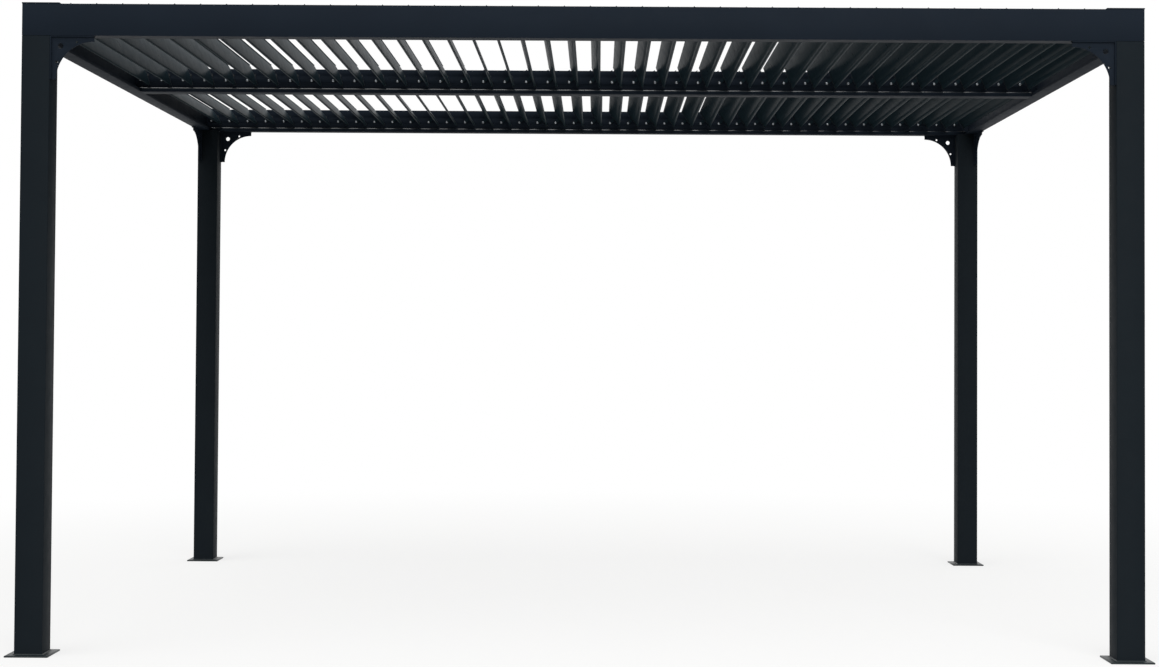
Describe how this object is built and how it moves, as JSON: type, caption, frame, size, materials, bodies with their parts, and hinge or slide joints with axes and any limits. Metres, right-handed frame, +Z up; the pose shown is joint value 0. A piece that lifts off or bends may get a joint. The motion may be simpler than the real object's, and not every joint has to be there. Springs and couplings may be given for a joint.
{
  "type": "aluminum pergola",
  "caption": "Free-standing aluminium pergola: square posts, mitred beams, a centre beam and two bays of tilting louvre blades.",
  "frame": {"origin": "centre of the plan, on the ground under the base plates", "axes": "+Z up, +X along the long front beam to the right as seen from the front, -Y to the front"},
  "size_m": [4.055, 3.055, 2.3325],
  "materials": {
    "frame_paint": "satin",
    "blade_paint": "satin"
  },
  "bodies": {
    "frame": {"front_left_post": "frame_paint", "front_right_post": "frame_paint", "rear_left_post": "frame_paint", "rear_right_post": "frame_paint", "front_beam": "frame_paint", "rear_beam": "frame_paint", "left_beam": "frame_paint", "right_beam": "frame_paint", "centre_beam": "frame_paint", "front_left_long_bracket": "frame_paint", "front_left_side_bracket": "frame_paint", "front_right_long_bracket": "frame_paint", "front_right_side_bracket": "frame_paint", "rear_left_long_bracket": "frame_paint", "rear_left_side_bracket": "frame_paint", "rear_right_long_bracket": "frame_paint", "rear_right_side_bracket": "frame_paint"},
    "louver_01": {"louver_01": "blade_paint"},
    "louver_02": {"louver_02": "blade_paint"},
    "louver_03": {"louver_03": "blade_paint"},
    "louver_04": {"louver_04": "blade_paint"},
    "louver_05": {"louver_05": "blade_paint"},
    "louver_06": {"louver_06": "blade_paint"},
    "louver_07": {"louver_07": "blade_paint"},
    "louver_08": {"louver_08": "blade_paint"},
    "louver_09": {"louver_09": "blade_paint"},
    "louver_10": {"louver_10": "blade_paint"},
    "louver_11": {"louver_11": "blade_paint"},
    "louver_12": {"louver_12": "blade_paint"},
    "louver_13": {"louver_13": "blade_paint"},
    "louver_14": {"louver_14": "blade_paint"},
    "louver_15": {"louver_15": "blade_paint"},
    "louver_16": {"louver_16": "blade_paint"},
    "louver_17": {"louver_17": "blade_paint"},
    "louver_18": {"louver_18": "blade_paint"},
    "louver_19": {"louver_19": "blade_paint"},
    "louver_20": {"louver_20": "blade_paint"},
    "louver_21": {"louver_21": "blade_paint"},
    "louver_22": {"louver_22": "blade_paint"},
    "louver_23": {"louver_23": "blade_paint"},
    "louver_24": {"louver_24": "blade_paint"},
    "louver_25": {"louver_25": "blade_paint"},
    "louver_26": {"louver_26": "blade_paint"},
    "louver_27": {"louver_27": "blade_paint"},
    "louver_28": {"louver_28": "blade_paint"},
    "louver_29": {"louver_29": "blade_paint"},
    "louver_30": {"louver_30": "blade_paint"},
    "louver_31": {"louver_31": "blade_paint"},
    "louver_32": {"louver_32": "blade_paint"},
    "louver_33": {"louver_33": "blade_paint"},
    "louver_34": {"louver_34": "blade_paint"},
    "louver_35": {"louver_35": "blade_paint"},
    "louver_36": {"louver_36": "blade_paint"},
    "louver_37": {"louver_37": "blade_paint"},
    "louver_38": {"louver_38": "blade_paint"},
    "louver_39": {"louver_39": "blade_paint"},
    "louver_40": {"louver_40": "blade_paint"},
    "louver_41": {"louver_41": "blade_paint"},
    "louver_42": {"louver_42": "blade_paint"},
    "drive_bars": {"front_drive_bar": "frame_paint"}
  },
  "joints": [
    {"name": "louver_01_tilt", "type": "hinge", "parent": "frame", "child": "louver_01", "pos_m": [-1.91775, 0, 2.281], "axis": [0, 1, 0], "range_deg": [-38, 0]},
    {"name": "louver_02_tilt", "type": "hinge", "parent": "frame", "child": "louver_02", "pos_m": [-1.8243, 0, 2.281], "axis": [0, 1, 0], "range_deg": [-38, 0]},
    {"name": "louver_03_tilt", "type": "hinge", "parent": "frame", "child": "louver_03", "pos_m": [-1.73085, 0, 2.281], "axis": [0, 1, 0], "range_deg": [-38, 0]},
    {"name": "louver_04_tilt", "type": "hinge", "parent": "frame", "child": "louver_04", "pos_m": [-1.6374, 0, 2.281], "axis": [0, 1, 0], "range_deg": [-38, 0]},
    {"name": "louver_05_tilt", "type": "hinge", "parent": "frame", "child": "louver_05", "pos_m": [-1.54395, 0, 2.281], "axis": [0, 1, 0], "range_deg": [-38, 0]},
    {"name": "louver_06_tilt", "type": "hinge", "parent": "frame", "child": "louver_06", "pos_m": [-1.4505, 0, 2.281], "axis": [0, 1, 0], "range_deg": [-38, 0]},
    {"name": "louver_07_tilt", "type": "hinge", "parent": "frame", "child": "louver_07", "pos_m": [-1.35705, 0, 2.281], "axis": [0, 1, 0], "range_deg": [-38, 0]},
    {"name": "louver_08_tilt", "type": "hinge", "parent": "frame", "child": "louver_08", "pos_m": [-1.2636, 0, 2.281], "axis": [0, 1, 0], "range_deg": [-38, 0]},
    {"name": "louver_09_tilt", "type": "hinge", "parent": "frame", "child": "louver_09", "pos_m": [-1.17015, 0, 2.281], "axis": [0, 1, 0], "range_deg": [-38, 0]},
    {"name": "louver_10_tilt", "type": "hinge", "parent": "frame", "child": "louver_10", "pos_m": [-1.0767, 0, 2.281], "axis": [0, 1, 0], "range_deg": [-38, 0]},
    {"name": "louver_11_tilt", "type": "hinge", "parent": "frame", "child": "louver_11", "pos_m": [-0.98325, 0, 2.281], "axis": [0, 1, 0], "range_deg": [-38, 0]},
    {"name": "louver_12_tilt", "type": "hinge", "parent": "frame", "child": "louver_12", "pos_m": [-0.8898, 0, 2.281], "axis": [0, 1, 0], "range_deg": [-38, 0]},
    {"name": "louver_13_tilt", "type": "hinge", "parent": "frame", "child": "louver_13", "pos_m": [-0.79635, 0, 2.281], "axis": [0, 1, 0], "range_deg": [-38, 0]},
    {"name": "louver_14_tilt", "type": "hinge", "parent": "frame", "child": "louver_14", "pos_m": [-0.7029, 0, 2.281], "axis": [0, 1, 0], "range_deg": [-38, 0]},
    {"name": "louver_15_tilt", "type": "hinge", "parent": "frame", "child": "louver_15", "pos_m": [-0.60945, 0, 2.281], "axis": [0, 1, 0], "range_deg": [-38, 0]},
    {"name": "louver_16_tilt", "type": "hinge", "parent": "frame", "child": "louver_16", "pos_m": [-0.516, 0, 2.281], "axis": [0, 1, 0], "range_deg": [-38, 0]},
    {"name": "louver_17_tilt", "type": "hinge", "parent": "frame", "child": "louver_17", "pos_m": [-0.42255, 0, 2.281], "axis": [0, 1, 0], "range_deg": [-38, 0]},
    {"name": "louver_18_tilt", "type": "hinge", "parent": "frame", "child": "louver_18", "pos_m": [-0.3291, 0, 2.281], "axis": [0, 1, 0], "range_deg": [-38, 0]},
    {"name": "louver_19_tilt", "type": "hinge", "parent": "frame", "child": "louver_19", "pos_m": [-0.23565, 0, 2.281], "axis": [0, 1, 0], "range_deg": [-38, 0]},
    {"name": "louver_20_tilt", "type": "hinge", "parent": "frame", "child": "louver_20", "pos_m": [-0.1422, 0, 2.281], "axis": [0, 1, 0], "range_deg": [-38, 0]},
    {"name": "louver_21_tilt", "type": "hinge", "parent": "frame", "child": "louver_21", "pos_m": [-0.04875, 0, 2.281], "axis": [0, 1, 0], "range_deg": [-38, 0]},
    {"name": "louver_22_tilt", "type": "hinge", "parent": "frame", "child": "louver_22", "pos_m": [0.0447, 0, 2.281], "axis": [0, 1, 0], "range_deg": [-38, 0]},
    {"name": "louver_23_tilt", "type": "hinge", "parent": "frame", "child": "louver_23", "pos_m": [0.13815, 0, 2.281], "axis": [0, 1, 0], "range_deg": [-38, 0]},
    {"name": "louver_24_tilt", "type": "hinge", "parent": "frame", "child": "louver_24", "pos_m": [0.2316, 0, 2.281], "axis": [0, 1, 0], "range_deg": [-38, 0]},
    {"name": "louver_25_tilt", "type": "hinge", "parent": "frame", "child": "louver_25", "pos_m": [0.32505, 0, 2.281], "axis": [0, 1, 0], "range_deg": [-38, 0]},
    {"name": "louver_26_tilt", "type": "hinge", "parent": "frame", "child": "louver_26", "pos_m": [0.4185, 0, 2.281], "axis": [0, 1, 0], "range_deg": [-38, 0]},
    {"name": "louver_27_tilt", "type": "hinge", "parent": "frame", "child": "louver_27", "pos_m": [0.51195, 0, 2.281], "axis": [0, 1, 0], "range_deg": [-38, 0]},
    {"name": "louver_28_tilt", "type": "hinge", "parent": "frame", "child": "louver_28", "pos_m": [0.6054, 0, 2.281], "axis": [0, 1, 0], "range_deg": [-38, 0]},
    {"name": "louver_29_tilt", "type": "hinge", "parent": "frame", "child": "louver_29", "pos_m": [0.69885, 0, 2.281], "axis": [0, 1, 0], "range_deg": [-38, 0]},
    {"name": "louver_30_tilt", "type": "hinge", "parent": "frame", "child": "louver_30", "pos_m": [0.7923, 0, 2.281], "axis": [0, 1, 0], "range_deg": [-38, 0]},
    {"name": "louver_31_tilt", "type": "hinge", "parent": "frame", "child": "louver_31", "pos_m": [0.88575, 0, 2.281], "axis": [0, 1, 0], "range_deg": [-38, 0]},
    {"name": "louver_32_tilt", "type": "hinge", "parent": "frame", "child": "louver_32", "pos_m": [0.9792, 0, 2.281], "axis": [0, 1, 0], "range_deg": [-38, 0]},
    {"name": "louver_33_tilt", "type": "hinge", "parent": "frame", "child": "louver_33", "pos_m": [1.07265, 0, 2.281], "axis": [0, 1, 0], "range_deg": [-38, 0]},
    {"name": "louver_34_tilt", "type": "hinge", "parent": "frame", "child": "louver_34", "pos_m": [1.1661, 0, 2.281], "axis": [0, 1, 0], "range_deg": [-38, 0]},
    {"name": "louver_35_tilt", "type": "hinge", "parent": "frame", "child": "louver_35", "pos_m": [1.25955, 0, 2.281], "axis": [0, 1, 0], "range_deg": [-38, 0]},
    {"name": "louver_36_tilt", "type": "hinge", "parent": "frame", "child": "louver_36", "pos_m": [1.353, 0, 2.281], "axis": [0, 1, 0], "range_deg": [-38, 0]},
    {"name": "louver_37_tilt", "type": "hinge", "parent": "frame", "child": "louver_37", "pos_m": [1.44645, 0, 2.281], "axis": [0, 1, 0], "range_deg": [-38, 0]},
    {"name": "louver_38_tilt", "type": "hinge", "parent": "frame", "child": "louver_38", "pos_m": [1.5399, 0, 2.281], "axis": [0, 1, 0], "range_deg": [-38, 0]},
    {"name": "louver_39_tilt", "type": "hinge", "parent": "frame", "child": "louver_39", "pos_m": [1.63335, 0, 2.281], "axis": [0, 1, 0], "range_deg": [-38, 0]},
    {"name": "louver_40_tilt", "type": "hinge", "parent": "frame", "child": "louver_40", "pos_m": [1.7268, 0, 2.281], "axis": [0, 1, 0], "range_deg": [-38, 0]},
    {"name": "louver_41_tilt", "type": "hinge", "parent": "frame", "child": "louver_41", "pos_m": [1.82025, 0, 2.281], "axis": [0, 1, 0], "range_deg": [-38, 0]},
    {"name": "louver_42_tilt", "type": "hinge", "parent": "frame", "child": "louver_42", "pos_m": [1.9137, 0, 2.281], "axis": [0, 1, 0], "range_deg": [-38, 0]},
    {"name": "drive_bars_swing", "type": "hinge", "parent": "louver_01", "child": "drive_bars", "pos_m": [-1.94145, 0, 2.2565], "axis": [0, 1, 0], "range_deg": [0, 38]}
  ],
  "couplings": [
    {"joint": "louver_02_tilt", "follows": "louver_01_tilt", "ratio": 1},
    {"joint": "louver_03_tilt", "follows": "louver_01_tilt", "ratio": 1},
    {"joint": "louver_04_tilt", "follows": "louver_01_tilt", "ratio": 1},
    {"joint": "louver_05_tilt", "follows": "louver_01_tilt", "ratio": 1},
    {"joint": "louver_06_tilt", "follows": "louver_01_tilt", "ratio": 1},
    {"joint": "louver_07_tilt", "follows": "louver_01_tilt", "ratio": 1},
    {"joint": "louver_08_tilt", "follows": "louver_01_tilt", "ratio": 1},
    {"joint": "louver_09_tilt", "follows": "louver_01_tilt", "ratio": 1},
    {"joint": "louver_10_tilt", "follows": "louver_01_tilt", "ratio": 1},
    {"joint": "louver_11_tilt", "follows": "louver_01_tilt", "ratio": 1},
    {"joint": "louver_12_tilt", "follows": "louver_01_tilt", "ratio": 1},
    {"joint": "louver_13_tilt", "follows": "louver_01_tilt", "ratio": 1},
    {"joint": "louver_14_tilt", "follows": "louver_01_tilt", "ratio": 1},
    {"joint": "louver_15_tilt", "follows": "louver_01_tilt", "ratio": 1},
    {"joint": "louver_16_tilt", "follows": "louver_01_tilt", "ratio": 1},
    {"joint": "louver_17_tilt", "follows": "louver_01_tilt", "ratio": 1},
    {"joint": "louver_18_tilt", "follows": "louver_01_tilt", "ratio": 1},
    {"joint": "louver_19_tilt", "follows": "louver_01_tilt", "ratio": 1},
    {"joint": "louver_20_tilt", "follows": "louver_01_tilt", "ratio": 1},
    {"joint": "louver_21_tilt", "follows": "louver_01_tilt", "ratio": 1},
    {"joint": "louver_22_tilt", "follows": "louver_01_tilt", "ratio": 1},
    {"joint": "louver_23_tilt", "follows": "louver_01_tilt", "ratio": 1},
    {"joint": "louver_24_tilt", "follows": "louver_01_tilt", "ratio": 1},
    {"joint": "louver_25_tilt", "follows": "louver_01_tilt", "ratio": 1},
    {"joint": "louver_26_tilt", "follows": "louver_01_tilt", "ratio": 1},
    {"joint": "louver_27_tilt", "follows": "louver_01_tilt", "ratio": 1},
    {"joint": "louver_28_tilt", "follows": "louver_01_tilt", "ratio": 1},
    {"joint": "louver_29_tilt", "follows": "louver_01_tilt", "ratio": 1},
    {"joint": "louver_30_tilt", "follows": "louver_01_tilt", "ratio": 1},
    {"joint": "louver_31_tilt", "follows": "louver_01_tilt", "ratio": 1},
    {"joint": "louver_32_tilt", "follows": "louver_01_tilt", "ratio": 1},
    {"joint": "louver_33_tilt", "follows": "louver_01_tilt", "ratio": 1},
    {"joint": "louver_34_tilt", "follows": "louver_01_tilt", "ratio": 1},
    {"joint": "louver_35_tilt", "follows": "louver_01_tilt", "ratio": 1},
    {"joint": "louver_36_tilt", "follows": "louver_01_tilt", "ratio": 1},
    {"joint": "louver_37_tilt", "follows": "louver_01_tilt", "ratio": 1},
    {"joint": "louver_38_tilt", "follows": "louver_01_tilt", "ratio": 1},
    {"joint": "louver_39_tilt", "follows": "louver_01_tilt", "ratio": 1},
    {"joint": "louver_40_tilt", "follows": "louver_01_tilt", "ratio": 1},
    {"joint": "louver_41_tilt", "follows": "louver_01_tilt", "ratio": 1},
    {"joint": "louver_42_tilt", "follows": "louver_01_tilt", "ratio": 1},
    {"joint": "drive_bars_swing", "follows": "louver_01_tilt", "ratio": -1}
  ]
}
